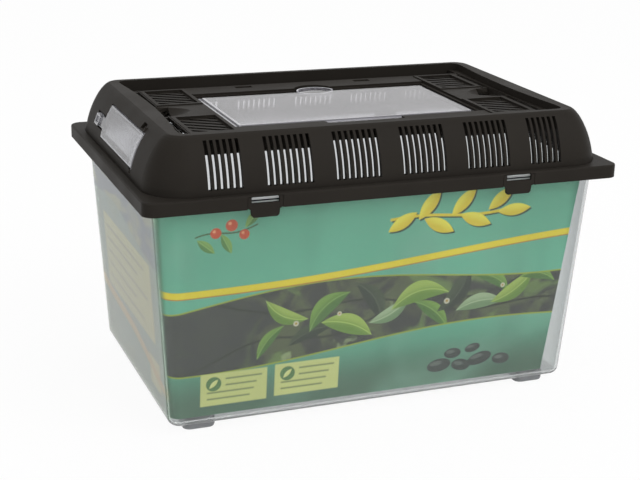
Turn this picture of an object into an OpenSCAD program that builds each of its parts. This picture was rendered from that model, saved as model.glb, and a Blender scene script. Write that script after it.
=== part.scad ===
// Plastic pet keeper: a clear tapered tank with moulded feet, a black vented hood that
// clips over its rim, a clear top hatch, a clear curved door in the hood's left end and a
// printed card that lines the tank's front and left walls.
// Frame: X along the length, the front faces -Y, Z up. The origin is on the floor, under
// the middle of the tank. Millimetres.

/* [Hood] */
// Length of the hood over its skirt
hood_l = 370; // [364:1:380]
// Depth of the hood over its skirt
hood_d = 247; // [242:1:254]
// Height of the whole keeper, floor to the hood's rim
total_h = 224; // [220:1:230]
// Height of the skirt that hangs over the tank's rim
skirt_h = 10; // [9:0.5:12]
// Width of the ledge between the skirt's face and the foot of the dome
ledge_w = 6.8; // [5:0.1:8]
// Corner radius of the dome at its foot, seen from above
dome_r = 29.5; // [27:0.5:34]
// How far the dome draws in from its foot to its rim
dome_draw = 19.5; // [18:0.5:21]
// Fullness of the dome's side: 1 is a flat slope, 2 an ellipse
dome_power = 1.5; // [1.4:0.05:2]
// Wall thickness of the hood
hood_t = 2.2; // [2:0.1:2.4]

/* [Deck] */
// Depth of the sunken deck below the rim
deck_drop = 5.8; // [5:0.1:6.5]
// Length of the opening in the rim, at its corners
well_l = 302; // [298:1:304]
// Depth of the opening in the rim, front to back
well_d = 185; // [182:1:187]
// How far the rim bulges into the opening at the middle of each end
grip_bulge = 4.3; // [3:0.1:5]
// Slots in each louvred panel
louvre_count = 7; // [5:1:8]
// Tilt of the louvre blades
louvre_tilt = 38; // [25:1:45]
// Angle of the louvre blades across the panel
louvre_slant = 31; // [10:1:35]

/* [Vents] */
// Slots in each of the groups, from one end of the hood to the other
vent_groups = [6, 8, 8, 8, 8, 6];
// Distance between neighbouring slots
vent_pitch = 4.55; // [4.4:0.05:4.8]
// Width of a slot
vent_w = 2.6; // [2.2:0.1:2.8]
// Height of a slot
vent_h = 32; // [28:0.5:33]

/* [Tank] */
// Length of the tank outside, just under its rim
tank_l = 348.4; // [344:0.1:350]
// Depth of the tank outside, just under its rim
tank_d = 229; // [226:0.1:230]
// How far each wall leans in from the rim to the floor
tank_draw = 8.1; // [6:0.1:9]
// Wall thickness of the tank
tank_t = 2.2; // [1.8:0.1:2.6]
// Height of the feet under the tank's floor
foot_h = 6; // [5:0.5:7]

/* [Hatches] */
// Length of the top hatch's raised window
hatch_l = 189; // [186:1:190]
// Depth of the top hatch's raised window, front to back
hatch_d = 95.5; // [94:0.5:96]
// Thickness of the clear hatches
hatch_t = 1.6; // [1.4:0.1:1.8]
// Lower edge of the end door above the floor
door_z0 = 192; // [191:0.5:193]
// Upper edge of the end door above the floor
door_z1 = 216; // [214:0.5:216]

/* [Clips] */
// Distance of each clip from the middle of the hood
clip_x = 99; // [90:1:110]
// Width of the window in a clip
clip_window = 20.4; // [18:0.2:21]
// How far a clip hangs below the skirt
clip_drop = 6; // [5:0.5:7]

/* [Hidden] */
eps = 0.01;
far = 500;
round_fn = 96;
pin_fn = 48;

// levels
ledge_z = total_h - 39;                 // top of the ledge, foot of the dome
skirt_z = ledge_z - skirt_h;            // lower edge of the skirt
seat_z = ledge_z - hood_t;              // where the hood rests on the tank's rim
deck_z = total_h - deck_drop;
deck_t = 2;
floor_z = foot_h;                       // underside of the tank's floor

// dome
dome_l = hood_l - 2 * ledge_w;
dome_d = hood_d - 2 * ledge_w;
dome_h = total_h - ledge_z;
dome_steps = 12;
function hundredth(v) = round(v * 100) / 100;
function dome_inset(s) =
    hundredth(dome_draw * (1 - pow(1 - pow(s, dome_power), 1 / dome_power)));
function dome_s(k) = sin(90 * k / dome_steps);
function dome_profile(z0, top) =
    concat([[0, z0]],
           [for (k = [0:dome_steps]) [dome_inset(dome_s(k)), ledge_z + (top - ledge_z) * dome_s(k)]]);
dome_table = [for (k = [0:dome_steps])
                 [hundredth(ledge_z + dome_h * dome_s(k)), dome_inset(dome_s(k))]];
function dome_inset_at(z) = lookup(z, dome_table);
// heights of the dome's own facet lines between two levels, with the levels themselves
function dome_levels(z0, z1) =
    concat([z0], [for (p = dome_table) if (p[0] > z0 + 0.2 && p[0] < z1 - 0.2) p[0]], [z1]);

// clear parts
pin_gap = 0.06;

// top hatch
hatch_y = -2.25;                        // middle of the raised window
hatch_top = total_h - 7.4;
hatch_lip_x = 3.5;
hatch_lip_y = 3;
lip_z = hatch_top - 1.2;                // top of the hatch's lower lip
hatch_seat = lip_z - hatch_t;
hatch_gap = 0.6;
hatch_gap_rear = 3.5;
hatch_gap_front = 5;
frame_z = hatch_top;                    // sunken strip round the hatch
frame_x = 101.5;
frame_y0 = -59.4;
frame_y1 = 54;
tongue_l = 60;
hatch_axis_y = -61;
hatch_axis_z = hatch_seat + 1.6;
hatch_barrel_r = 1.8;
hatch_pin_r = 1.2;
hatch_pin_l = 3;
tab_x = 1.5;
tab_rx = 15.5;
tab_ry = 12;
well_r = 17;                            // finger well under the tab
well_drop = 4.4;

// louvred panels, measured from the middle of the deck
panel_x0 = 104.5;
panel_x1 = 135;
panel_y0 = 22;
panel_y1 = 70;
ridge_w = 3;
ridge_h = 0.8;
louvre_drop = 1;                        // slats below the deck
louvre_depth = 3.8;

// gutters
gutter_x = 144;
gutter_y = 77;
gutter_drop = 4.5;

// grip scoops at the ends of the deck
scoop_r = 21;
scoop_x = 117;
scoop_tilt = 20;
scoop_end = 143.5;
scoop_hole_x = 131;

// end door
door_y0 = -54;
door_y1 = 42;
door_tab_l = 22;
door_gap = 0.6;
door_lip = 2.6;
door_frame_t = 2.1;
door_axis_y = door_y0 + 1.05;
door_pin_r = 0.8;
door_pin_l = 2.7;
door_boss_r = 2;
door_swing = 2.8;                       // room in front of the hinge edge
door_depth = 1.9;                       // axis below the dome's surface, at the pins
door_x0 = dome_inset_at(door_z0);
door_x1 = dome_inset_at(door_z1);
door_lean = atan((door_x1 - door_x0) / (door_z1 - door_z0));
door_len = norm([door_x1 - door_x0, door_z1 - door_z0]);

// clips
clip_t = 2;
clip_leg = 2.6;
clip_gap = 0.3;
clip_pin_r = 0.7;
clip_pin_l = 1.2;
clip_top = ledge_z - 1;
clip_axis_z = clip_top - 1.1;
clip_axis_in = 1.1;                     // axis behind the skirt's face
clip_knuckle_r = 1;
window_z = ledge_z - 5.7;               // lower edge of the clip's window

// tank rim
rim_gap = 0.6;
rim_t = 1.8;
rim_drop = 5.2;
tank_r = 17.5;
tank_edge = 6;                          // rounding between the walls and the floor

// A box with round corners whose sides follow a profile: a list of [inset, height] from
// the bottom up. Straight sides are extruded and corners are turned about their own axis.
module moulded(l, d, r, points) {
    profile = [for (p = points) [hundredth(p[0]), hundredth(p[1])]];
    n = len(profile) - 1;
    module half(w) {
        polygon(concat([for (p = profile) [w - p[0], p[1]]],
                       [for (k = [n:-1:0]) [-(w - profile[k][0]), profile[k][1]]]));
    }
    rotate([90, 0, 90]) translate([0, 0, -(l / 2 - r)]) linear_extrude(l - 2 * r) half(d / 2);
    rotate([90, 0, 0]) translate([0, 0, -(d / 2 - r)]) linear_extrude(d - 2 * r) half(l / 2);
    for (sx = [-1, 1], sy = [-1, 1])
        translate([sx * (l / 2 - r), sy * (d / 2 - r), 0])
            rotate_extrude($fn = round_fn)
                polygon(concat([[0, profile[0][1]]],
                               [for (p = profile) [r - p[0], p[1]]],
                               [[0, profile[n][1]]]));
}

module block(x0, x1, y0, y1, z0, z1) {
    translate([x0, y0, z0]) cube([x1 - x0, y1 - y0, z1 - z0]);
}

// the same thing at all four corners, or at both ends
module four() {
    for (mx = [0, 1], my = [0, 1]) mirror([mx, 0, 0]) mirror([0, my, 0]) children();
}
module ends() {
    for (mx = [0, 1]) mirror([mx, 0, 0]) children();
}

// ---------------------------------------------------------------- tank

// The inside of the tank, drawn in by a gap from its walls
module tank_inside(gap, z0, z1) {
    function lean(z) = tank_draw * (1 - (z - floor_z) / (seat_z - floor_z));
    edge = tank_edge - tank_t;
    r = tank_r - tank_t - gap;
    bend = [for (k = [0:4]) let (a = 90 * k / 4)
               [lean(z0) + edge * (1 - sin(a)), z0 + edge * (1 - cos(a))]];
    moulded(tank_l - 2 * (tank_t + gap), tank_d - 2 * (tank_t + gap), r,
            concat(bend, [[lean(z1), z1]]));
}

module tank_outside() {
    bend = [for (k = [0:6]) let (a = 90 * k / 6)
               [tank_draw + tank_edge * (1 - sin(a)), floor_z + tank_edge * (1 - cos(a))]];
    moulded(tank_l, tank_d, tank_r, concat(bend, [[0, seat_z]]));
}

module tank_rim() {
    edge_l = hood_l - 2 * hood_t - 2 * rim_gap;
    edge_d = hood_d - 2 * hood_t - 2 * rim_gap;
    edge_r = 6.5;
    groove = 0.7;
    groove_z = seat_z - 2.7;
    difference() {
        moulded(edge_l, edge_d, edge_r,
                [[0, seat_z - rim_drop], [0, groove_z], [groove, groove_z + 0.1],
                 [groove, groove_z + 0.9], [0, groove_z + 1], [0, seat_z]]);
        moulded(edge_l - 2 * rim_t, edge_d - 2 * rim_t, edge_r - rim_t,
                [[0, seat_z - rim_drop - 1], [0, seat_z - rim_t]]);
    }
}

foot_l = 25;
foot_d = 20;
foot_x = 138;
foot_y = 86;

module foot(l, d, r, z0, z1) {
    translate([foot_x, foot_y, 0])
        moulded(l, d, r, [[1.6, z0], [0.5, z0 + 0.5], [0, z0 + 1.6], [0, z1]]);
}

module tank() {
    color([0.88, 0.92, 0.92, 0.4]) difference() {
        union() {
            tank_outside();
            tank_rim();
            four() foot(foot_l, foot_d, 6, 0, floor_z + 3);
        }
        tank_inside(0, floor_z + tank_t, seat_z + 1);
        four() foot(foot_l - 2 * tank_t, foot_d - 2 * tank_t, 4, tank_t, floor_z + 3.5);
    }
}

// ---------------------------------------------------------------- card

card_t = 0.4;
card_gap = 0.25;
card_z0 = 13;
card_z1 = seat_z - 3;
card_right_top = 159;
card_right_low = 137;
card_rear = 96;

module label_card() {
    color([0.49, 0.72, 0.62]) intersection() {
        difference() {
            tank_inside(card_gap, floor_z + tank_t, seat_z);
            tank_inside(card_gap + card_t, floor_z + tank_t - 1, seat_z + 1);
        }
        union() {
            rotate([90, 0, 0]) linear_extrude(far)
                polygon([[-far, card_z0], [card_right_low, card_z0],
                         [card_right_top, card_z1], [-far, card_z1]]);
            block(-far, -tank_l / 2 + tank_r + 5, -far, card_rear, card_z0, card_z1);
        }
    }
}

// ---------------------------------------------------------------- hood

module skirt() {
    bevel = 1.2;
    moulded(hood_l, hood_d, 8.7,
            [[0, skirt_z], [0, ledge_z - bevel], [0.3, ledge_z - 0.4], [bevel, ledge_z]]);
}

module shell() {
    difference() {
        union() {
            skirt();
            moulded(dome_l, dome_d, dome_r, dome_profile(ledge_z - 1, total_h));
        }
        moulded(hood_l - 2 * hood_t, hood_d - 2 * hood_t, 8.7 - hood_t,
                [[0, skirt_z - 1], [0, seat_z]]);
        moulded(dome_l - 2 * hood_t, dome_d - 2 * hood_t, dome_r - hood_t,
                dome_profile(seat_z - 1, total_h - hood_t));
    }
}

// Outline of the sunken well, with the rim's inward bulge at each end
module well_outline(grow) {
    bulge_r = (80 * 80 + grip_bulge * grip_bulge) / (2 * grip_bulge);
    corner = 6;
    difference() {
        round_square(well_l + 2 * grow, well_d + 2 * grow, corner + grow);
        ends() translate([well_l / 2 - grip_bulge + bulge_r + grow, 0])
            circle(bulge_r, $fn = 720);
    }
}

// Fine groove where the dome meets the ledge
module foot_groove() {
    translate([0, 0, ledge_z - 0.6]) linear_extrude(0.6 + eps) difference() {
        round_square(dome_l + 1.6, dome_d + 1.6, dome_r + 0.8);
        round_square(dome_l, dome_d, dome_r);
    }
}

module round_square(l, d, r) {
    square([l - 2 * r, d], center = true);
    square([l, d - 2 * r], center = true);
    for (sx = [-1, 1], sy = [-1, 1])
        translate([sx * (l / 2 - r), sy * (d / 2 - r)]) circle(r, $fn = round_fn);
}

rib_drop = 8;                           // how far the well's wall reaches below the deck

module well_walls() {
    difference() {
        translate([0, 0, deck_z - deck_t - rib_drop])
            linear_extrude(total_h - 0.5 - (deck_z - deck_t - rib_drop)) well_outline(2);
        translate([0, 0, deck_z - deck_t - rib_drop - 1])
            linear_extrude(rib_drop + 1) well_outline(0);
        block(-45, 45, -far, far, 0, deck_z - deck_t);
    }
}

// Frame that the top hatch sits in, its seat and the cheeks of its hinge
hatch_x = hatch_l / 2 + hatch_lip_x + hatch_gap;
hatch_y0 = hatch_y - hatch_d / 2 - hatch_lip_y - hatch_gap_front;
hatch_y1 = hatch_y + hatch_d / 2 + hatch_lip_y + hatch_gap_rear;

module hatch_frame() {
    x = frame_x + 1.2;
    block(-x, x, hatch_y0 - 2, hatch_y1 + 2, hatch_seat - 1.8, frame_z);
    block(-x, x, frame_y0 - 2, frame_y1 + 2, frame_z - 1.8, deck_z - eps);
    ends() block(tongue_l / 2 + 1, tongue_l / 2 + 7, hatch_axis_y - 3.5, hatch_y0 + 1,
                 hatch_axis_z - 3, deck_z - eps);
    translate([tab_x, hatch_y + hatch_d / 2 + 1.5, deck_z - well_drop - 1.8])
        cylinder(well_drop + 1.8 - eps, r = well_r + 1.8, $fn = round_fn);
}

module hatch_opening() {
    x = hatch_x;
    y0 = hatch_y0;
    y1 = hatch_y1;
    seat = 5;
    block(-frame_x, frame_x, frame_y0, frame_y1, frame_z, total_h);
    block(-x, x, y0, y1, hatch_seat, total_h);
    block(-x + seat, x - seat, y0 + seat + hatch_gap_front - 1, y1 - seat - hatch_gap_rear + 1,
          deck_z - 20, total_h);
    // notch for the hinge tongue and the bores for its pins
    block(-tongue_l / 2 - 1, tongue_l / 2 + 1, hatch_axis_y - 5, y0 + 14, deck_z - 20, total_h);
    translate([-tongue_l / 2 - 5, hatch_axis_y, hatch_axis_z]) rotate([0, 90, 0])
        cylinder(tongue_l + 10, r = hatch_pin_r + pin_gap, $fn = pin_fn);
    // finger well
    translate([tab_x, hatch_y + hatch_d / 2 + 1.5, deck_z - well_drop])
        cylinder(10, r = well_r, $fn = round_fn);
}

module louvre_ridges() {
    w = ridge_w;
    four() difference() {
        block(panel_x0 - w, panel_x1 + w, panel_y0 - w, panel_y1 + w, deck_z - 1, deck_z + ridge_h);
        block(panel_x0, panel_x1, panel_y0, panel_y1, deck_z - 2, deck_z + 2);
    }
    // two fine lines along each end of the deck
    ends() for (x = [panel_x1 + 3.4, scoop_end + 0.1])
        block(x, x + 0.8, -gutter_y + 1, gutter_y - 1, deck_z - 1, deck_z + 0.6);
}

// Sunken gutters between the deck and the front and rear walls of the well
module gutter_floor() {
    for (my = [0, 1]) mirror([0, my, 0]) intersection() {
        block(-far, far, gutter_y - 2, well_d / 2 + 1, deck_z - gutter_drop - 1.8, deck_z - eps);
        linear_extrude(far) well_outline(1);
    }
}
module gutter_cut() {
    for (my = [0, 1]) mirror([0, my, 0])
        block(-gutter_x, gutter_x, gutter_y, well_d / 2 - eps, deck_z - gutter_drop, deck_z + 1);
}

// Louvred panels: a sunken grille of tilted slats that run slantwise across each panel
module louvre_bed() {
    w = 1.2;
    four() block(panel_x0 - w, panel_x1 + w, panel_y0 - w, panel_y1 + w,
                 deck_z - louvre_depth, deck_z - eps);
}
module louvre_slots() {
    w = panel_x1 - panel_x0;
    d = panel_y1 - panel_y0;
    pitch = (d * cos(louvre_slant) + w * sin(louvre_slant)) / louvre_count;
    slot = 3.1;
    four() block(panel_x0, panel_x1, panel_y0, panel_y1, deck_z - louvre_drop, deck_z + 2);
    for (sx = [-1, 1], sy = [-1, 1])
        translate([sx * (panel_x0 + panel_x1) / 2, sy * (panel_y0 + panel_y1) / 2, deck_z - 2.5])
            intersection() {
                cube([w - 1.2, d - 1.2, 10], center = true);
                rotate([0, 0, -louvre_slant]) for (k = [0:louvre_count - 1])
                    translate([0, (k - (louvre_count - 1) / 2) * pitch, 0])
                        rotate([louvre_tilt, 0, 0]) cube([w + d, slot, 16], center = true);
            }
}

// Long slots between the deck and the well's walls
module border_slots() {
    four() {
        block(panel_x1 + 4.3, scoop_end, panel_y0 - 3, panel_y1, deck_z - 4, deck_z + 4);
    }
    ends() block(45, 59, 67, 73, deck_z - 4, deck_z + 4);
}

// A round-bottomed ramp that runs down and out under the rim
module scoop_trough(r, x0) {
    intersection() {
        translate([scoop_x, 0, deck_z]) rotate([0, 90 + scoop_tilt, 0])
            translate([-scoop_r, 0, -20]) cylinder(80, r = r, $fn = round_fn);
        block(x0, scoop_end + r - scoop_r, -far, far, deck_z - 30, deck_z + r - scoop_r + 20);
    }
}

module scoop_shell() {
    ends() intersection() {
        scoop_trough(scoop_r + 2, scoop_x - 8);
        block(0, far, -scoop_r, scoop_r, deck_z - 30, deck_z - eps);
    }
}

module scoop_cut() {
    ends() {
        intersection() {
            scoop_trough(scoop_r, scoop_x - 8);
            block(0, scoop_end, -18.6, 18.6, deck_z - 30, total_h - 1);
        }
        block(scoop_hole_x, scoop_end, -14, 14, deck_z - 30, deck_z + 4);
    }
}

vent_depth = 4;                         // wall thickness where the slots are

// Thicker band of wall on the inside, which makes the bars between the slots deep
module vent_band() {
    x = vent_x[5] + 22;
    zs = dome_levels(ledge_z + 1.5, ledge_z + vent_h + 5);
    n = len(zs) - 1;
    for (my = [0, 1]) mirror([0, my, 0])
        translate([-x, 0, 0]) rotate([90, 0, 90]) linear_extrude(2 * x)
            polygon(concat([for (z = zs) [dome_d / 2 - dome_inset_at(z) - 1, z]],
                           [for (k = [n:-1:0]) [dome_d / 2 - dome_inset_at(zs[k]) - vent_depth, zs[k]]]));
}

// One group of upright slots, cut only through the dome's own wall
module vent_group(n) {
    z0 = ledge_z + 4;
    z1 = z0 + vent_h;
    steps = 8;
    path = [for (k = [0:steps]) let (z = z0 + (z1 - z0) * k / steps) [dome_inset_at(z), z]];
    outer = [for (p = path) [dome_d / 2 - p[0] + 3, p[1]]];
    inner = [for (k = [steps:-1:0]) [dome_d / 2 - path[k][0] - vent_depth - 1.2, path[k][1] - 0.6]];
    for (k = [0:n - 1])
        translate([(k - (n - 1) / 2) * vent_pitch - vent_w / 2, 0, 0]) rotate([90, 0, 90])
            linear_extrude(vent_w) polygon(concat(outer, inner));
}

vent_x = [-125.3, -77.7, -25.9, 25.9, 77.7, 125.3];

module vents() {
    for (my = [0, 1], k = [0:len(vent_groups) - 1])
        mirror([0, my, 0]) translate([vent_x[k], 0, 0]) vent_group(vent_groups[k]);
}

// A strip of the dome's left end between two depths below its surface
module end_strip(d0, d1, z0, z1, y0, y1) {
    zs = dome_levels(z0, z1);
    n = len(zs) - 1;
    translate([0, y1, 0]) rotate([90, 0, 0]) linear_extrude(y1 - y0)
        polygon(concat([for (z = zs) [-(dome_l / 2 - dome_inset_at(z) - d0), z]],
                       [for (k = [n:-1:0])
                           [-(dome_l / 2 - dome_inset_at(zs[k]) - d1), zs[k]]]));
}

// Places children on the end door's hinge line, with Z along it from the lower pin up
module door_axis() {
    translate([-(dome_l / 2 - door_x0 - door_depth), door_axis_y, door_z0])
        rotate([0, door_lean, 0]) children();
}

module door_frame() {
    end_strip(hatch_t + 0.3, hatch_t + 0.3 + door_frame_t, door_z0 - 4, door_z1 + 2.6,
              door_y0 - 7, door_y1 + 6);
    door_axis() for (z = [-4.4, door_len])
        translate([0, 0, z]) cylinder(4.4, r = door_boss_r, $fn = pin_fn);
}

module door_opening() {
    end_strip(-4, hatch_t + 0.3, door_z0 - door_gap, door_z1 + 1,
              door_y0 - door_swing, door_y1 + door_gap);
    end_strip(-4, 12, door_z0 + door_lip, door_z1 - door_lip,
              door_y0 - door_swing, door_y1 - door_lip);
    // room for the hinge edge to turn
    end_strip(-4, 12, door_z0 - 1.5, door_z1 + 1.1, door_y0 - door_swing, door_y0 + 4);
    // bores for the hinge pins
    door_axis() translate([0, 0, -3.3])
        cylinder(door_len + 6, r = door_pin_r + pin_gap, $fn = pin_fn);
    // finger room behind the pull tab
    end_strip(-4, 3.8, door_z0 + 4.5, door_z1 - 8.5, door_y1 - 1, door_y1 + door_tab_l + 2.5);
    // pocket beside the upper pin
    end_strip(-4, 3.4, door_z1 + 1.5, door_z1 + 5.6, -50.2, -41);
}

module door_finger_cup() {
    end_strip(0.8, 5.4, door_z0 + 2.5, door_z1 - 6.5, door_y1 - 1, door_y1 + door_tab_l + 4.5);
    end_strip(1, 5.4, door_z1 - 2, door_z1 + 6.8, -52, -39.5);
}

// Windows and hinge bores for one clip, cut out of the skirt
module clip_cut() {
    w = clip_window / 2 + clip_leg + clip_gap;
    y = hood_d / 2;
    block(-w, w, y - hood_t - 0.1, y + 1, skirt_z - 1, clip_top + eps);
    block(-clip_window / 2, clip_window / 2, y - ledge_w + 1.5, y + 1, window_z, clip_top + eps);
    translate([-w - clip_pin_l, y - clip_axis_in, clip_axis_z]) rotate([0, 90, 0])
        cylinder(2 * (w + clip_pin_l), r = clip_pin_r + pin_gap, $fn = pin_fn);
}

module clip_places() {
    for (my = [0, 1], sx = [-1, 1])
        mirror([0, my, 0]) translate([sx * clip_x, 0, 0]) children();
}

module hood() {
    color([0.13, 0.125, 0.115]) difference() {
        union() {
            difference() {
                union() {
                    shell();
                    well_walls();
                }
                translate([0, 0, deck_z]) linear_extrude(far) well_outline(0);
            }
            hatch_frame();
            gutter_floor();
            louvre_bed();
            louvre_ridges();
            vent_band();
            scoop_shell();
            door_frame();
            door_finger_cup();
        }
        foot_groove();
        gutter_cut();
        hatch_opening();
        louvre_slots();
        border_slots();
        scoop_cut();
        vents();
        door_opening();
        clip_places() clip_cut();
    }
}

// ---------------------------------------------------------------- hatches

module top_hatch() {
    x = hatch_l / 2;
    y0 = hatch_y - hatch_d / 2;
    y1 = hatch_y + hatch_d / 2;
    color([0.86, 0.88, 0.9, 0.4]) {
        difference() {
            union() {
                block(-x, x, y0, y1, hatch_seat, hatch_top);
                block(-x - hatch_lip_x, x + hatch_lip_x, y0 - hatch_lip_y, y1 + hatch_lip_y,
                      hatch_seat, lip_z);
                // hinge tongue
                block(-tongue_l / 2, tongue_l / 2, hatch_axis_y, y0, hatch_seat, lip_z);
                translate([-tongue_l / 2, hatch_axis_y, hatch_axis_z]) rotate([0, 90, 0])
                    cylinder(tongue_l, r = hatch_barrel_r, $fn = pin_fn);
                translate([-tongue_l / 2 - hatch_pin_l, hatch_axis_y, hatch_axis_z])
                    rotate([0, 90, 0])
                        cylinder(tongue_l + 2 * hatch_pin_l, r = hatch_pin_r, $fn = pin_fn);
                // pull tab with a raised bead round its edge
                translate([tab_x, y1 + 1, hatch_seat + 0.8]) linear_extrude(hatch_t) tab(0);
                translate([tab_x, y1 + 1, hatch_seat + 0.8]) linear_extrude(hatch_t + 1.2)
                    difference() { tab(0); tab(1.4); }
            }
            block(-x + hatch_t, x - hatch_t, y0 + hatch_t, y1 - hatch_t,
                  hatch_seat - 1, hatch_top - hatch_t);
        }
    }
}

module tab(inset) {
    polygon([for (k = [0:16]) let (a = 180 * k / 16)
                [(tab_rx - inset) * cos(a), (tab_ry - inset) * sin(a)]]);
}

module side_hatch() {
    inner = door_depth + 1;             // depth of the hinge rail's straight inner edge
    zs = dome_levels(door_z0, door_z1);
    color([0.86, 0.88, 0.9, 0.4]) {
        end_strip(0, hatch_t, door_z0, door_z1, door_y0, door_y1);
        // hinge rail: follows the dome outside and is straight inside
        translate([0, door_y0 + 2.1, 0]) rotate([90, 0, 0]) linear_extrude(2.1)
            polygon(concat([for (z = zs) [-(dome_l / 2 - dome_inset_at(z)), z]],
                           [[-(dome_l / 2 - door_x1 - inner), door_z1],
                            [-(dome_l / 2 - door_x0 - inner), door_z0]]));
        door_axis() {
            translate([0, 0, -door_pin_l])
                cylinder(door_pin_l + 1, r = door_pin_r, $fn = pin_fn);
            translate([0, 0, door_len - 1])
                cylinder(door_pin_l + 0.6, r = door_pin_r, $fn = pin_fn);
        }
        // pull tab with a raised frame at its end
        end_strip(0, hatch_t, door_z0 + 6, door_z1 - 10, door_y1, door_y1 + door_tab_l);
        difference() {
            end_strip(-1.4, 0, door_z0 + 6, door_z1 - 10, door_y1 + 11, door_y1 + door_tab_l);
            end_strip(-2, 1, door_z0 + 7.6, door_z1 - 11.6, door_y1 + 12.6,
                      door_y1 + door_tab_l - 1.6);
        }
    }
}

// ---------------------------------------------------------------- clips

// One clip at the rear, seen from behind: a window frame that hangs from two pins and
// ends in a tapered finger tongue with a small catch inside
module clip() {
    w = clip_window / 2 + clip_leg;
    y = hood_d / 2;
    low = skirt_z - clip_drop;
    color([0.13, 0.125, 0.115]) {
        translate([0, y, 0]) rotate([90, 0, 0]) linear_extrude(clip_t) difference() {
            union() {
                polygon([[-w, clip_axis_z], [-w, skirt_z + 0.6], [-w + 2.2, skirt_z - 0.4],
                         [-w + 2.6, low + 1.5], [-w + 4, low], [w - 4, low],
                         [w - 2.6, low + 1.5], [w - 2.2, skirt_z - 0.4],
                         [w, skirt_z + 0.6], [w, clip_axis_z]]);
            }
            translate([-clip_window / 2, window_z]) square([clip_window, 20]);
        }
        for (sx = [-1, 1]) translate([sx * (w - clip_leg / 2), y - clip_axis_in, clip_axis_z])
            rotate([0, 90, 0]) {
                cylinder(clip_leg, r = clip_knuckle_r, center = true, $fn = pin_fn);
                translate([0, 0, sx * (clip_leg + clip_pin_l) / 2])
                    cylinder(clip_pin_l + 0.4, r = clip_pin_r, center = true, $fn = pin_fn);
            }
        // catch below the tank's rim
        translate([-w + 3, y - 1.6, seat_z - rim_drop - 1.4]) rotate([0, 90, 0])
            cylinder(2 * w - 6, r = 0.9, $fn = pin_fn);
    }
}

module clip_rear_left() { translate([-clip_x, 0, 0]) clip(); }
module clip_rear_right() { translate([clip_x, 0, 0]) clip(); }
module clip_front_left() { mirror([0, 1, 0]) clip_rear_left(); }
module clip_front_right() { mirror([0, 1, 0]) clip_rear_right(); }

tank();
label_card();
hood();
top_hatch();
side_hatch();
clip_front_left();
clip_front_right();
clip_rear_left();
clip_rear_right();
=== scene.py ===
import math

import bpy
from mathutils import Matrix, Vector


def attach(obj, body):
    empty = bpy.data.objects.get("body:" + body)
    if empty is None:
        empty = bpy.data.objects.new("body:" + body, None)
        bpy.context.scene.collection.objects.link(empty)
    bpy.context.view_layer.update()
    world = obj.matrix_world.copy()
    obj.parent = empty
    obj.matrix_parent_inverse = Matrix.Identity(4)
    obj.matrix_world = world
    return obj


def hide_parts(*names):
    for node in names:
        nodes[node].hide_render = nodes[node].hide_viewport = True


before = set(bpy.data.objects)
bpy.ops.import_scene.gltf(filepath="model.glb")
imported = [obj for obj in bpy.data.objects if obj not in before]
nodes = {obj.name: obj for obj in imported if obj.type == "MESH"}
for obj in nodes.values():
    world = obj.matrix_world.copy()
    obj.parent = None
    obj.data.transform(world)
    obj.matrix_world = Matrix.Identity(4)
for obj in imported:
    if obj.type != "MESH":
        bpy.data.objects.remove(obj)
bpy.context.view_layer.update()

CLIPS = ("clip_front_left", "clip_front_right", "clip_rear_left", "clip_rear_right")

# Places on the CAD model that the materials and the leaned pieces use, in metres. A pair is
# where something begins and ends, or where one zone fades into the next.
SEAT_Z = 0.1828                     # top of the tank's walls, under the rim
FLOOR_Z = 0.006                     # underside of the tank's floor
WALL_X, WALL_Y = 0.174, 0.1145      # outside of the tank's walls at the seat
RIM_Z, RIM_X, RIM_Y = 0.1775, 0.1755, 0.1155    # the tank's rim is above and outside these
GROOVE_Z, GROOVE_Y = (0.18005, 0.18115), 0.1197
FEET_X, FEET_Y, FEET_TOP = (0.1245, 0.1515), (0.0755, 0.0965), 0.0098
FOOT_FADE, BASE_FADE = (0.0045, 0.0065), (0.007, 0.011)
# The right and rear pairs: where painted shade on the tank's right end and rear fades in
LEFT_FADE, RIGHT_SHADE, REAR_SHADE = (-0.150, -0.140), (0.148, 0.164), (0.095, 0.104)
DOME_Z, DOME_HEIGHT, DOME_DRAW = 0.185, 0.039, 0.0195
DOME_TOP = DOME_Z + DOME_HEIGHT
DECK_X, DECK_Y = 0.1512, 0.0925     # the dome's sides are outside these
HATCH_X = 0.0922                    # half the length of the hatch's flat middle
HATCH_GROOVE = (0.0945, 0.0953)
HATCH_FRONT = (-0.0535, -0.0484)
TAB_X, TAB_Y, TAB_HALF = 0.0015, 0.0465, 0.0155     # the hatch's pull tab
TAB_REAR, TAB_NEAR, TAB_DISH = 0.012, 0.0085, 0.030     # half depths of its ellipses
DOOR_HINGE, DOOR_RAIL = -0.0523, (-0.0500, -0.0488)
DOOR_FOOT, DOOR_TOP, DOOR_END, DOOR_TAB = 0.1930, 0.2150, 0.042, 0.0535

# The leaned pieces
LEAN_X, LEAN_Y = 0.0038 / WALL_X, 0.0054 / WALL_Y   # further lean at the floor, as a share
FOOT_SHIFT = 0.984                  # holds the feet on the flat of the narrower floor
CARD_END_X = 0.1                    # the card's right end is past this
CARD_END_REACH = 0.0098             # and reaches this much further at its foot

# ---------------------------------------------------------------- camera

SENSOR = 36.0
FOCAL = 78.54
CAMERA_AT = (-0.40298, -0.99567, 0.45541)
CAMERA_RIGHT = (0.93244, -0.36060, 0.02280)
CAMERA_UP = (0.09208, 0.29817, 0.95006)

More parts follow.
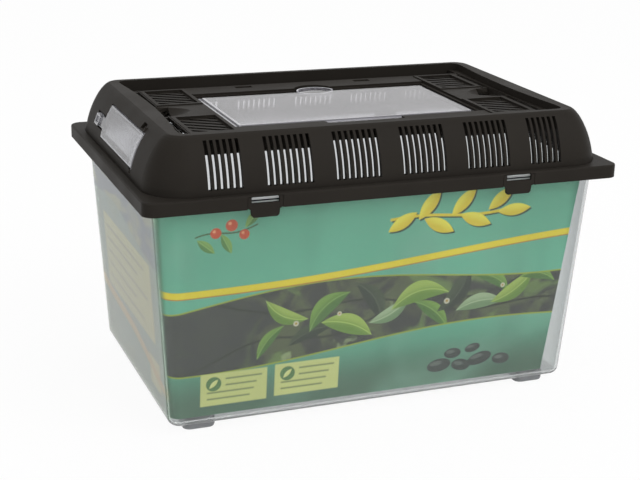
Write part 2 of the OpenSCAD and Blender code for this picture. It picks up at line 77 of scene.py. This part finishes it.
right = Vector(CAMERA_RIGHT).normalized()
up = Vector(CAMERA_UP)
up = (up - right * up.dot(right)).normalized()
back = right.cross(up)
camera_data = bpy.data.cameras.new("camera")
camera_data.sensor_width = SENSOR
camera_data.lens = FOCAL
camera = bpy.data.objects.new("camera", camera_data)
bpy.context.scene.collection.objects.link(camera)
camera.matrix_world = Matrix((
    (right.x, up.x, back.x, CAMERA_AT[0]),
    (right.y, up.y, back.y, CAMERA_AT[1]),
    (right.z, up.z, back.z, CAMERA_AT[2]),
    (0, 0, 0, 1)))
bpy.context.scene.camera = camera
bpy.context.scene.view_settings.view_transform = "Standard"


# ---------------------------------------------------------------- node helpers

def srgb(r, g, b):
    """Linear colour with alpha 1 from 0-255 screen values."""
    def lin(v):
        v /= 255
        return v / 12.92 if v <= 0.04045 else ((v + 0.055) / 1.055) ** 2.4
    return (lin(r), lin(g), lin(b), 1.0)


class Tree:
    """Short names for building one material's nodes. A value is a number or a socket."""

    def __init__(self, name):
        self.material = bpy.data.materials.new(name)
        self.material.use_nodes = True
        self.nodes = self.material.node_tree.nodes
        self.links = self.material.node_tree.links
        self.nodes.clear()
        out = self.nodes.new("ShaderNodeOutputMaterial")
        self.bsdf = self.nodes.new("ShaderNodeBsdfPrincipled")
        self.links.new(self.bsdf.outputs[0], out.inputs[0])
        self.coords = self.nodes.new("ShaderNodeTexCoord")
        self.x, self.y, self.z = self.split(self.coords.outputs["Object"])

    def split(self, vector):
        n = self.nodes.new("ShaderNodeSeparateXYZ")
        self.links.new(vector, n.inputs[0])
        return n.outputs[0], n.outputs[1], n.outputs[2]

    def put(self, value, socket):
        if isinstance(value, bpy.types.NodeSocket):
            self.links.new(value, socket)
        else:
            socket.default_value = value

    def set(self, **values):
        for name, value in values.items():
            self.put(value, self.bsdf.inputs[name.replace("_", " ")])

    def math(self, operation, a, b=0.0, c=0.0):
        n = self.nodes.new("ShaderNodeMath")
        n.operation = operation
        for socket, value in zip(n.inputs, (a, b, c)):
            self.put(value, socket)
        return n.outputs[0]

    def add(self, a, b): return self.math("ADD", a, b)
    def sub(self, a, b): return self.math("SUBTRACT", a, b)
    def mul(self, a, b): return self.math("MULTIPLY", a, b)
    def least(self, a, b): return self.math("MINIMUM", a, b)
    def most(self, a, b): return self.math("MAXIMUM", a, b)
    def size(self, a): return self.math("ABSOLUTE", a)
    def over(self, a, b): return self.math("GREATER_THAN", a, b)
    def under(self, a, b): return self.math("LESS_THAN", a, b)
    def line(self, value, slope, base): return self.math("MULTIPLY_ADD", value, slope, base)

    def all(self, first, *rest):
        """Product of masks."""
        for mask in rest:
            first = self.mul(first, mask)
        return first

    def within(self, value, low, high):
        return self.mul(self.over(value, low), self.under(value, high))

    def length(self, u, v, height=1.0):
        """Distance from the middle, in an ellipse that is 1 wide and height high."""
        vv = self.mul(self.mul(v, v), 1 / height ** 2)
        return self.math("SQRT", self.add(self.mul(u, u), vv))

    def ramp(self, value, low, high, a=0.0, b=1.0):
        """a below low, b above high, and smooth between."""
        n = self.nodes.new("ShaderNodeMapRange")
        n.interpolation_type = "SMOOTHSTEP"
        self.put(value, n.inputs["Value"])
        for name, v in (("From Min", low), ("From Max", high), ("To Min", a), ("To Max", b)):
            self.put(v, n.inputs[name])
        return n.outputs[0]

    def mix(self, factor, a, b):
        n = self.nodes.new("ShaderNodeMix")
        n.data_type = "RGBA"
        self.put(factor, n.inputs["Factor"])
        self.put(a, n.inputs[6])
        self.put(b, n.inputs[7])
        return n.outputs[2]

    def noise(self, scale, detail=3.0, rough=0.5, distortion=0.0, stretch=None):
        n = self.nodes.new("ShaderNodeTexNoise")
        vector = self.coords.outputs["Object"]
        if stretch:
            m = self.nodes.new("ShaderNodeMapping")
            self.links.new(vector, m.inputs[0])
            m.inputs["Scale"].default_value = stretch
            vector = m.outputs[0]
        self.links.new(vector, n.inputs["Vector"])
        n.inputs["Scale"].default_value = scale
        n.inputs["Detail"].default_value = detail
        n.inputs["Roughness"].default_value = rough
        n.inputs["Distortion"].default_value = distortion
        return n.outputs["Fac"]

    def bump(self, height, strength, distance, normal=None):
        n = self.nodes.new("ShaderNodeBump")
        n.inputs["Strength"].default_value = strength
        n.inputs["Distance"].default_value = distance
        self.put(height, n.inputs["Height"])
        if normal:
            self.links.new(normal, n.inputs["Normal"])
        self.links.new(n.outputs[0], self.bsdf.inputs["Normal"])

    def dome_normal(self):
        """The surface normal, with the flat strips of the dome's four straight sides rounded
        off: the side's slope follows from the height alone, as in the CAD profile."""
        object_normal = self.coords.outputs["Normal"]
        nx, ny, nz = self.split(object_normal)
        rise = self.line(self.z, 1 / DOME_HEIGHT, -DOME_Z / DOME_HEIGHT)
        rise = self.least(self.most(rise, 0.01), 0.985)
        slope = self.math(
            "DIVIDE", self.mul(self.math("SQRT", rise), DOME_DRAW / DOME_HEIGHT),
            self.math("POWER", self.sub(1.0, self.math("POWER", rise, 1.5)), 1 / 3))
        on_dome = self.all(self.within(self.z, DOME_Z + 0.0002, DOME_TOP - 0.0001),
                           self.over(nz, 0.04))
        way_x, way_y = self.math("SIGN", self.x), self.math("SIGN", self.y)
        side = self.all(on_dome, self.under(self.size(nx), 0.03),
                        self.over(self.mul(ny, way_y), 0.2), self.over(self.size(self.y), DECK_Y))
        end = self.all(on_dome, self.under(self.size(ny), 0.03),
                       self.over(self.mul(nx, way_x), 0.2), self.over(self.size(self.x), DECK_X))
        rounded = self.nodes.new("ShaderNodeCombineXYZ")
        self.put(self.mul(way_x, end), rounded.inputs[0])
        self.put(self.mul(way_y, side), rounded.inputs[1])
        self.put(slope, rounded.inputs[2])
        n = self.nodes.new("ShaderNodeMix")
        n.data_type = "VECTOR"
        self.put(self.most(side, end), n.inputs[0])
        self.put(object_normal, n.inputs[4])
        self.put(rounded.outputs[0], n.inputs[5])
        turn = self.nodes.new("ShaderNodeVectorTransform")
        turn.vector_type = "NORMAL"
        turn.convert_from = "OBJECT"
        turn.convert_to = "WORLD"
        self.links.new(n.outputs[1], turn.inputs[0])
        return turn.outputs[0]


# ---------------------------------------------------------------- black plastic

def black_plastic(name, grain, dome=False):
    t = Tree(name)
    fine = t.noise(2600, 4, 0.6)
    broad = t.noise(22, 3, 0.5)
    t.set(Base_Color=t.mix(broad, srgb(38, 35, 32), srgb(45, 42, 38)),
          Roughness=t.add(t.ramp(broad, 0.3, 0.7, 0.40, 0.48), t.mul(fine, 0.05)),
          IOR=1.5, Specular_IOR_Level=0.03)
    t.bump(fine, grain, 0.0004, t.dome_normal() if dome else None)
    return t.material


# ---------------------------------------------------------------- clear plastic

# The left wall's print, in metres along y and z. Each box: y from and to, z from and to
LARGE_PANEL = (-0.074, 0.072, 0.062, 0.124)
SMALL_PANEL = (-0.080, -0.050, 0.024, 0.048)
LEFT_BARS = (0.118, 0.096, 0.126, 0.088, 0.108)     # lengths, from the top down
BAR_START, BAR_TOP, BAR_PITCH, BAR_HALF = 0.064, 0.114, 0.0106, 0.0011


def left_print(t, ground, top, leafy, panel, bars, stripe):
    """The left wall's print, in full inks on the card and in faint ones on the wall before
    it: a leafy top, a large panel with bars, and a small panel and a stripe at the foot."""
    def box(y0, y1, z0, z1, blur=0.0008):
        across = t.mul(t.ramp(t.y, y0 - blur, y0 + blur), t.ramp(t.y, y1 - blur, y1 + blur, 1, 0))
        return t.all(across, t.ramp(t.z, z0 - blur, z0 + blur),
                     t.ramp(t.z, z1 - blur, z1 + blur, 1, 0))

    def above(base, slope, size, shift):
        """Height above a wavy line."""
        wave = t.mul(t.math("SINE", t.line(t.y, 32.0, shift)), size)
        return t.sub(t.z, t.add(t.line(t.y, slope, base), wave))

    cloud = t.noise(22, 3, 0.5, 0.8, (1, 1, 2.2))
    colour = t.mix(t.mul(t.ramp(cloud, 0.40, 0.70), 0.35), srgb(*ground), srgb(*leafy))
    wood = t.mix(t.ramp(cloud, 0.46, 0.60), srgb(*top), srgb(*leafy))
    colour = t.mix(t.ramp(above(0.136, 0.06, 0.005, 0.8), -0.001, 0.001), colour, wood)
    colour = t.mix(box(*LARGE_PANEL), colour, srgb(*panel))
    for k, reach in enumerate(LEFT_BARS):
        z = BAR_TOP - BAR_PITCH * k
        bar = box(BAR_START - reach, BAR_START, z - BAR_HALF, z + BAR_HALF)
        colour = t.mix(bar, colour, srgb(*bars))
    colour = t.mix(box(*SMALL_PANEL), colour, srgb(*panel))
    off_stripe = t.size(above(0.048, 0.16, 0.003, 2.0))
    return t.mix(t.ramp(off_stripe, 0.0034, 0.0044, 1, 0), colour, srgb(*stripe))


def wall_tint(t):
    """Muted tints that the left wall takes from the print behind it."""
    tint = left_print(t, (166, 182, 174), (146, 158, 166), (180, 186, 160), (198, 200, 166),
                      (178, 182, 160), (204, 190, 150))
    tint = t.mix(t.ramp(t.z, 0.05, 0.16), t.mix(0.35, tint, srgb(192, 188, 172)), tint)
    return t.mix(t.ramp(t.y, -0.108, -0.080, 0.9, 0.0), tint, srgb(176, 212, 190))


def scuffs(t):
    return t.noise(55, 4, 0.6, 0.0, (1, 1, 0.2))


def clear_wall(name):
    """The tank: clear at the front, hazier on the left wall and on the rim, with painted shade
    darkening the right end and the rear, darker in the feet, and a line of painted shade in
    the rim's groove."""
    t = Tree(name)
    nx = t.split(t.coords.outputs["Normal"])[0]
    cloud = t.noise(14, 4, 0.6, 0.4)
    end = t.ramp(t.size(nx), 0.82, 0.98)
    left = t.mul(end, t.ramp(t.x, *LEFT_FADE, 1, 0))
    rim = t.mul(t.over(t.z, RIM_Z), t.most(t.over(t.size(t.y), RIM_Y), t.over(t.size(t.x), RIM_X)))
    groove = t.mul(t.within(t.z, *GROOVE_Z), t.over(t.size(t.y), GROOVE_Y))
    base = t.ramp(t.z, *BASE_FADE, 1, 0)
    foot = t.ramp(t.z, *FOOT_FADE, 1, 0)
    colour = t.mix(t.ramp(cloud, 0.3, 0.8), srgb(240, 243, 242), srgb(234, 237, 236))
    # Painted shade: the rear of the tank is tinted darker
    colour = t.mix(t.ramp(t.y, *REAR_SHADE), colour, srgb(214, 216, 218))
    colour = t.mix(end, colour, wall_tint(t))
    # Painted shade: the right end of the tank is tinted darker
    colour = t.mix(t.ramp(t.x, *RIGHT_SHADE), colour, srgb(203, 206, 206))
    colour = t.mix(base, colour, srgb(206, 208, 208))
    colour = t.mix(foot, colour, srgb(168, 170, 172))
    # Painted shade: an opaque dark line in the rim's groove
    colour = t.mix(groove, colour, srgb(40, 40, 44))
    clear = t.sub(t.sub(0.98, t.mul(left, 0.14)), t.mul(rim, 0.42))
    clear = t.sub(t.sub(clear, t.mul(base, 0.25)), t.mul(foot, 0.30))
    rough = t.add(t.add(t.mul(left, 0.12), t.mul(rim, 0.15)), t.mul(base, 0.16))
    t.set(Base_Color=colour,
          Transmission_Weight=t.mul(clear, t.sub(1.0, groove)),
          Roughness=t.add(rough, t.ramp(scuffs(t), 0.5, 0.8, 0.0, 0.02)),
          IOR=1.27)
    t.bump(t.noise(24, 2, 0.4), 0.04, 0.0006)
    return t.material


def clear_plastic(name, tint, clear, hazy, frost_and_light, shade=None):
    """clear and hazy are (transmission, roughness) where the haze is least and most.
    The frost function gives the share of milky haze along the moulded edges, partly painted
    light; shade(tree) is 1 where painted shade darkens the plastic."""
    t = Tree(name)
    cloud = t.noise(14, 4, 0.6, 0.4)
    haze = t.ramp(cloud, 0.35, 0.75)
    milky_and_lit = frost_and_light(t)
    colour = t.mix(t.ramp(cloud, 0.3, 0.8), srgb(*tint), srgb(*(c - 5 for c in tint)))
    if shade:
        # Painted shade: the plastic is darkened where the shade mask is 1
        colour = t.mix(shade(t), colour, srgb(96, 94, 98))
    # The milky haze, partly painted light, turns the plastic whitish
    t.set(Base_Color=t.mix(milky_and_lit, colour, srgb(206, 206, 212)),
          Transmission_Weight=t.mul(t.ramp(haze, 0, 1, clear[0], hazy[0]), t.sub(1.0, milky_and_lit)),
          Roughness=t.add(t.ramp(haze, 0, 1, clear[1], hazy[1]),
                          t.ramp(scuffs(t), 0.5, 0.8, 0, 0.05)),
          IOR=1.45)
    t.bump(t.noise(24, 2, 0.4), 0.06, 0.0006)
    return t.material


def on_tab(t):
    """Place on the hatch's pull tab: across (1 at its ends), and back from its middle."""
    return t.mul(t.sub(t.x, TAB_X), 1 / TAB_HALF), t.sub(t.y, TAB_Y)


def hatch_frost_and_light(t):
    """The flanges' milky haze, partly painted light and strongest on the left flange, the
    front wall and the bead round the pull tab, and a faint thumb dish before the tab."""
    along = t.size(t.x)
    # Painted light: the flanges' milky haze is far stronger on the left flange than on the right
    flange = t.mul(t.ramp(along, HATCH_X, HATCH_X + 0.0008), t.ramp(t.x, -0.05, 0.05, 0.62, 0.12))
    groove = t.within(along, *HATCH_GROOVE)
    front = t.mul(t.within(t.y, *HATCH_FRONT), 0.45)
    edges = t.most(t.mul(flange, t.sub(1.0, t.mul(groove, 0.8))), front)
    u, v = on_tab(t)
    near = t.length(u, v, TAB_NEAR)
    behind = t.over(v, 0.0)
    before = t.sub(1.0, behind)
    bead = t.all(t.over(t.length(u, v, TAB_REAR), 0.93), behind, 0.8)
    rim = t.all(t.within(near, 0.84, 1.0), before, 0.7)
    dish = t.all(t.ramp(t.length(u, v, TAB_DISH), 0.80, 1.0, 1, 0), t.over(near, 1.0), before, 0.18)
    return t.most(t.most(edges, dish), t.most(bead, rim))


def hatch_shade(t):
    """1 in the lens between the tab's bead and its rim: painted shade where the dark well shows."""
    u, v = on_tab(t)
    return t.all(t.under(t.length(u, v, TAB_NEAR), 0.84), t.under(v, 0.0))


def door_frost(t):
    """Thin moulded lines along the door's hinge edge, foot and top, and the tab's frame."""
    rail = t.mul(t.most(t.under(t.y, DOOR_HINGE), t.within(t.y, *DOOR_RAIL)), 0.55)
    low = t.all(t.under(t.z, DOOR_FOOT), t.under(t.y, DOOR_END), 0.45)
    high = t.mul(t.over(t.z, DOOR_TOP), 0.35)
    tab = t.mul(t.over(t.y, DOOR_TAB), 0.35)
    return t.most(t.most(rail, low), t.most(high, tab))


# ---------------------------------------------------------------- printed card

class Print:
    """Draws flat shapes over the card's front, in metres across (x) and up (z)."""

    def __init__(self, tree, colour):
        self.t = tree
        self.colour = colour

    def over(self, mask, rgb, strength=1.0):
        t = self.t
        ink = srgb(*rgb) if isinstance(rgb, tuple) else rgb
        factor = t.mul(mask, strength) if strength != 1.0 else mask
        self.colour = t.mix(factor, self.colour, ink)

    def wave(self, base, slope, *waves):
        """Height of a line: base and slope, plus sines of (amplitude, length, shift)."""
        t = self.t
        v = t.line(t.x, slope, base)
        for size, length, shift in waves:
            v = t.add(v, t.mul(t.math("SINE", t.line(t.x, 2 * math.pi / length, shift)), size))
        return v

    def between(self, low, high, blur=0.0006):
        t = self.t
        above = t.ramp(t.sub(t.z, low), -blur, blur)
        return t.mul(above, t.ramp(t.sub(t.z, high), -blur, blur, 1, 0))

    def stroke(self, line, half, blur=0.0005):
        t = self.t
        return t.ramp(t.size(t.sub(t.z, line)), half - blur, half + blur, 1, 0)

    def inside(self, x0, x1, blur=0.0006):
        t = self.t
        past = t.ramp(t.x, x0 - blur, x0 + blur)
        return t.mul(past, t.ramp(t.x, x1 - blur, x1 + blur, 1, 0))

    def panel(self, x0, x1, z0, z1):
        return self.t.mul(self.inside(x0, x1), self.between(z0, z1))

    def turned(self, cx, cz, turn):
        t = self.t
        c, s = math.cos(turn), math.sin(turn)
        dx, dz = t.sub(t.x, cx), t.sub(t.z, cz)
        return (t.add(t.mul(dx, c), t.mul(dz, s)), t.sub(t.mul(dz, c), t.mul(dx, s)))

    def leaf(self, cx, cz, length, width, turn, dark, light, vein=True, bend=0.0):
        """Pointed leaf about its middle, lighter on one side of the midrib."""
        t = self.t
        u, v = self.turned(cx, cz, turn)
        if bend:
            v = t.add(v, t.mul(t.mul(u, u), bend / length))
        w = t.mul(t.sub(1.0, t.mul(t.mul(u, u), 1 / length ** 2)), width)
        mask = t.ramp(t.sub(t.size(v), w), -0.0004, 0.0004, 1, 0)
        self.over(mask, t.mix(t.ramp(v, -width * 0.5, width * 0.7), srgb(*dark), srgb(*light)))
        if vein:
            rib = t.ramp(t.size(v), 0.0001, 0.0006, 1, 0)
            self.over(t.mul(rib, mask), tuple(min(255, k + 26) for k in light), 0.7)

    def disc(self, cx, cz, r, rgb, squeeze=1.0, turn=0.0, blur=0.0005, strength=1.0):
        t = self.t
        u, v = self.turned(cx, cz, turn)
        self.over(t.ramp(t.length(u, v, squeeze), r - blur, r + blur, 1, 0), rgb, strength)


# Each leaf: x, z, half length, half width, turn
GREEN = ((86, 128, 58), (134, 174, 78))
BRIGHT = ((118, 156, 62), (178, 204, 98))
PALE = ((126, 158, 112), (178, 200, 156))
DEEP = ((52, 62, 48), (74, 88, 62))
BED_LEAVES = (      # with its inks and its bend
    (-0.090, 0.068, 0.016, 0.0046, 0.90, GREEN, 0.20),
    (-0.078, 0.086, 0.019, 0.0060, -0.50, BRIGHT, -0.30),
    (-0.058, 0.071, 0.018, 0.0056, 0.35, DEEP, 0.20),
    (-0.046, 0.090, 0.021, 0.0074, 0.75, GREEN, 0.30),
    (-0.026, 0.074, 0.022, 0.0080, -0.35, BRIGHT, 0.20),
    (-0.006, 0.092, 0.020, 0.0070, -1.00, DEEP, 0.30),
    (0.008, 0.078, 0.018, 0.0058, 0.50, PALE, -0.20),
    (0.030, 0.094, 0.024, 0.0084, 0.20, BRIGHT, 0.35),
    (0.044, 0.076, 0.019, 0.0062, -0.70, GREEN, 0.20),
    (0.064, 0.090, 0.022, 0.0076, 1.00, DEEP, -0.30),
    (0.082, 0.080, 0.020, 0.0064, 0.10, PALE, 0.20),
    (0.094, 0.098, 0.017, 0.0056, -0.50, GREEN, 0.30),
    (0.112, 0.086, 0.021, 0.0070, 0.60, BRIGHT, -0.20),
    (0.132, 0.098, 0.016, 0.0052, -0.20, GREEN, 0.30))
SPRIG_LEAVES = (
    (0.012, 0.151, 0.013, 0.0050, 0.55), (0.033, 0.163, 0.014, 0.0052, 0.95),
    (0.042, 0.146, 0.014, 0.0052, -0.45), (0.061, 0.163, 0.014, 0.0052, 0.85),
    (0.072, 0.148, 0.014, 0.0052, -0.35), (0.092, 0.163, 0.013, 0.0050, 0.70),
    (0.104, 0.153, 0.014, 0.0048, 0.05))
TWIG_LEAVES = (
    (-0.138, 0.1465, 0.0085, 0.0034, -0.7), (-0.104, 0.1655, 0.0090, 0.0034, 0.9),
    (-0.123, 0.1475, 0.0085, 0.0034, -1.1))
# Each disc: x, z, radius
BLOSSOMS = ((-0.068, 0.079, 0.0022), (-0.034, 0.083, 0.0018), (0.054, 0.083, 0.0024),
            (0.101, 0.091, 0.0019))
BERRIES = ((-0.131, 0.1560, 0.0040), (-0.1195, 0.1610, 0.0044), (-0.110, 0.1535, 0.0038))
PEBBLES = (         # with how flat it is and its turn
    (0.052, 0.0285, 0.0100, 0.55, 0.10), (0.071, 0.0265, 0.0082, 0.60, -0.20),
    (0.087, 0.0300, 0.0105, 0.50, 0.25), (0.063, 0.0375, 0.0072, 0.60, 0.00),
    (0.106, 0.0275, 0.0076, 0.62, -0.10), (0.080, 0.0400, 0.0066, 0.55, 0.20))
# The two pale panels: left edge, foot; and their bars' lengths from the top down
PANELS = ((-0.140, 0.0205), (-0.083, 0.0215))
PANEL_LENGTH, PANEL_HEIGHT = 0.051, 0.026
BARS = (0.030, 0.024, 0.036, 0.033)


def draw_ground(t):
    """Soft teal ground, lightest in the middle and darker to the foot."""
    cloud = t.noise(8, 3, 0.5, 0.6)
    streak = t.noise(16, 2, 0.5, 0.0, (1.6, 1, 0.22))
    ground = t.mix(t.ramp(t.z, 0.018, 0.075), srgb(88, 122, 100), srgb(114, 196, 164))
    ground = t.mix(t.mul(t.ramp(t.z, 0.10, 0.18), 0.7), ground, srgb(104, 178, 148))
    ground = t.mix(t.mul(t.ramp(cloud, 0.48, 0.72), 0.5), ground, srgb(146, 196, 172))
    return t.mix(t.mul(t.ramp(streak, 0.52, 0.78), 0.30), ground, srgb(68, 116, 96))


def draw_bed(p):
    """Dark band with a blurred thicket and leaves, bordered by thin lines."""
    t = p.t
    low = p.wave(0.056, 0.02, (0.007, 0.42, 0.4))
    high = p.wave(0.103, 0.03, (0.009, 0.40, 2.3))
    mask = p.between(low, high)
    outside = p.colour
    p.colour = t.mix(t.ramp(t.noise(34, 4, 0.6, 1.2), 0.44, 0.62),
                     srgb(66, 68, 63), srgb(96, 104, 72))
    p.over(t.ramp(t.noise(21, 3, 0.5, 0.9), 0.56, 0.64), (124, 152, 84), 0.75)
    p.over(t.ramp(t.noise(48, 3, 0.5, 0.5), 0.62, 0.70), (176, 192, 140), 0.6)
    p.over(p.inside(-0.5, -0.098, 0.02), (68, 70, 66), 0.9)
    for line in (p.wave(0.078, 0.16, (0.006, 0.12, 0.3)), p.wave(0.086, -0.10, (0.005, 0.15, 1.9))):
        p.over(p.stroke(line, 0.0009), (52, 56, 44), 0.9)
    for *place, inks, bend in BED_LEAVES:
        p.leaf(*place, *inks, bend=bend)
    for cx, cz, r in BLOSSOMS:
        p.disc(cx, cz, r, (222, 216, 190))
        p.disc(cx, cz, r * 0.4, (196, 160, 60))
    p.colour = t.mix(mask, outside, p.colour)
    p.over(t.most(p.stroke(low, 0.0006), p.stroke(high, 0.0006)), (168, 184, 62))


def draw_stripe(p):
    """Yellow stripe with a thin warm hem, over the upper part."""
    line = p.wave(0.120, 0.045, (0.004, 0.50, -0.6))
    p.over(p.stroke(p.t.add(line, -0.0004), 0.0029), (206, 130, 56))
    p.over(p.stroke(line, 0.0025), (252, 230, 48))


def draw_sprig(p):
    """Large yellow sprig with a dark shadow, right of the middle."""
    t = p.t
    stem = p.wave(0.1525, 0.02, (0.002, 0.11, 0.4))
    dark = (44, 70, 56)
    for dx, dz, stem_ink, leaf_ink in ((0.0012, -0.0012, dark, dark),
                                       (0, 0, (240, 214, 48), (252, 240, 84))):
        span = p.inside(0.002 + dx, 0.096 + dx)
        p.over(t.mul(span, p.stroke(t.add(stem, dz), 0.0011)), stem_ink)
        for cx, cz, length, width, turn in SPRIG_LEAVES:
            p.leaf(cx + dx, cz + dz, length, width, turn, stem_ink, leaf_ink, vein=False)


def draw_berries(p):
    """Orange berries on a twig, upper left."""
    twig = p.wave(0.176, 0.16, (0.002, 0.05, 0.2))
    p.over(p.t.mul(p.inside(-0.146, -0.100), p.stroke(twig, 0.0006)), (70, 104, 60))
    for place in TWIG_LEAVES:
        p.leaf(*place, (96, 146, 74), (142, 184, 92))
    for cx, cz, r in BERRIES:
        p.disc(cx, cz, r, (216, 84, 40))
        p.disc(cx - r * 0.3, cz + r * 0.35, r * 0.28, (246, 168, 120))


def draw_panels(p):
    """Two pale panels with a leaf pictogram and plain bars."""
    pale = (226, 230, 148)
    for x0, z0 in PANELS:
        z1 = z0 + PANEL_HEIGHT
        p.over(p.panel(x0, x0 + PANEL_LENGTH, z0, z1), pale, 0.95)
        sign_x, sign_z = x0 + 0.010, z1 - 0.0085
        p.disc(sign_x, sign_z, 0.0058, (98, 138, 82))
        p.leaf(sign_x, sign_z, 0.0046, 0.0017, 0.8, pale, (236, 240, 164), vein=False)
        for k, reach in enumerate(BARS):
            z = z1 - 0.0050 - 0.0052 * k
            start = x0 + (0.019 if k < 2 else 0.005)
            end = min(start + reach, x0 + PANEL_LENGTH - 0.004)
            p.over(p.panel(start, end, z - 0.0007, z + 0.0007), (116, 136, 88), 0.8)


def draw_pebbles(p):
    """Dark pebbles, lower right."""
    for cx, cz, r, flat, turn in PEBBLES:
        p.disc(cx, cz, r, (72, 78, 74), flat, turn)
        p.disc(cx - r * 0.25, cz + r * 0.18, r * 0.5, (118, 126, 120), flat * 0.7, turn,
               blur=0.0016, strength=0.8)


def printed_card():
    t = Tree("printed_card")
    p = Print(t, draw_ground(t))
    for draw in (draw_bed, draw_stripe, draw_sprig, draw_berries, draw_panels, draw_pebbles):
        draw(p)

    # past the corner: the left wall's print
    wall = left_print(t, (100, 168, 138), (62, 84, 78), (122, 148, 84), (226, 224, 142),
                      (132, 146, 96), (232, 190, 64))
    colour = t.mix(t.ramp(t.y, -0.094, -0.090), p.colour, wall)

    # plain board on the inside
    nx, ny, _ = t.split(t.coords.outputs["Normal"])
    inside = t.ramp(t.add(nx, ny), 0.2, 0.4)
    fibre = t.noise(900, 4, 0.6)
    colour = t.mix(inside, colour, t.mix(fibre, srgb(236, 235, 229), srgb(246, 245, 240)))
    t.set(Base_Color=colour, Roughness=t.ramp(fibre, 0.3, 0.7, 0.40, 0.48), IOR=1.45)
    t.bump(fibre, 0.05, 0.0001)
    return t.material


# ---------------------------------------------------------------- pieces

def leaned(node, right_end=0.0):
    """Stands for a CAD node of the tank's body: the same piece with its walls drawn in a
    little further towards the floor, as the photograph's outline has them. The feet keep
    their place, but for a shift that holds them on the flat of the floor. right_end is
    how much further the card's right end reaches at its foot than in the node."""
    mesh = nodes[node].data.copy()
    for v in mesh.vertices:
        in_foot = (v.co.z < FEET_TOP and FEET_X[0] < abs(v.co.x) < FEET_X[1]
                   and FEET_Y[0] < abs(v.co.y) < FEET_Y[1])
        if in_foot:
            v.co.y *= FOOT_SHIFT
            continue
        depth = min(max((SEAT_Z - v.co.z) / (SEAT_Z - FLOOR_Z), 0.0), 1.0)
        v.co.x *= 1 - depth * LEAN_X
        if v.co.x > CARD_END_X:
            v.co.x += depth * right_end
        v.co.y *= 1 - depth * LEAN_Y
    piece = bpy.data.objects.new(node + "_leaned", mesh)
    bpy.context.scene.collection.objects.link(piece)
    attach(piece, "tank")
    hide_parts(node)
    return piece


def dress(obj, material):
    """Puts one material on every slot of a CAD node or of a piece."""
    if not obj.material_slots:
        obj.data.materials.append(None)
    for s in obj.material_slots:
        s.link = "OBJECT"
        s.material = material


dress(nodes["hood"], black_plastic("black_moulded", 0.12, dome=True))
black_clip = black_plastic("black_clip", 0.10)
for clip in CLIPS:
    dress(nodes[clip], black_clip)
dress(leaned("tank"), clear_wall("clear_tank"))
dress(nodes["top_hatch"], clear_plastic("clear_hatch", (186, 184, 189), (0.94, 0.03), (0.90, 0.06),
                                        hatch_frost_and_light, hatch_shade))
dress(nodes["side_hatch"], clear_plastic("clear_door", (196, 196, 200), (0.88, 0.14), (0.76, 0.26),
                                         door_frost))
dress(leaned("label_card", right_end=CARD_END_REACH), printed_card())


# ---------------------------------------------------------------- stage and light

def seen_rays(tree):
    """1 on rays that the camera sees directly, in a reflection or through a clear part."""
    path = tree.nodes.new("ShaderNodeLightPath")
    value = path.outputs["Is Camera Ray"]
    for other in ("Is Glossy Ray", "Is Transmission Ray"):
        m = tree.nodes.new("ShaderNodeMath")
        m.operation = "MAXIMUM"
        tree.links.new(value, m.inputs[0])
        tree.links.new(path.outputs[other], m.inputs[1])
        value = m.outputs[0]
    return value


def scaled(tree, value, factor, offset):
    m = tree.nodes.new("ShaderNodeMath")
    m.operation = "MULTIPLY_ADD"
    tree.links.new(value, m.inputs[0])
    m.inputs[1].default_value = factor
    m.inputs[2].default_value = offset
    return m.outputs[0]


AMBIENT = 0.55                      # light from all round; seen rays find white
world = bpy.data.worlds.new("studio")
world.use_nodes = True
bpy.context.scene.world = world
studio = world.node_tree
sky = studio.nodes["Background"]
sky.inputs["Color"].default_value = (1, 1, 1, 1)
studio.links.new(scaled(studio, seen_rays(studio), 1 - AMBIENT, AMBIENT), sky.inputs["Strength"])

FLOOR_GLOW = 0.94                   # share of plain white in the floor that seen rays find
bpy.ops.mesh.primitive_plane_add(size=6, location=(0, 0, -0.0005))
floor = bpy.context.object
floor.name = "floor"
floor_material = bpy.data.materials.new("floor")
floor_material.use_nodes = True
ft = floor_material.node_tree
ft.nodes.clear()
out = ft.nodes.new("ShaderNodeOutputMaterial")
blend = ft.nodes.new("ShaderNodeMixShader")
glow = ft.nodes.new("ShaderNodeEmission")
matt = ft.nodes.new("ShaderNodeBsdfDiffuse")
matt.inputs[0].default_value = (0.95, 0.95, 0.95, 1)
ft.links.new(scaled(ft, seen_rays(ft), FLOOR_GLOW, 0.0), blend.inputs[0])
ft.links.new(matt.outputs[0], blend.inputs[1])
ft.links.new(glow.outputs[0], blend.inputs[2])
ft.links.new(blend.outputs[0], out.inputs[0])
floor.data.materials.append(floor_material)


def lamp(name, at, aim, size, power):
    data = bpy.data.lights.new(name, "AREA")
    data.energy = power
    data.size = size
    obj = bpy.data.objects.new(name, data)
    obj.location = at
    obj.rotation_euler = (Vector(aim) - Vector(at)).to_track_quat("-Z", "Y").to_euler()
    bpy.context.scene.collection.objects.link(obj)


lamp("key", (1.3, -1.9, 2.1), (0, 0, 0.1), 2.4, 44)
lamp("fill", (-2.0, -1.5, 1.2), (0, 0, 0.1), 2.0, 9)
lamp("top", (0.2, 0.8, 2.4), (0, 0, 0.2), 2.4, 14)
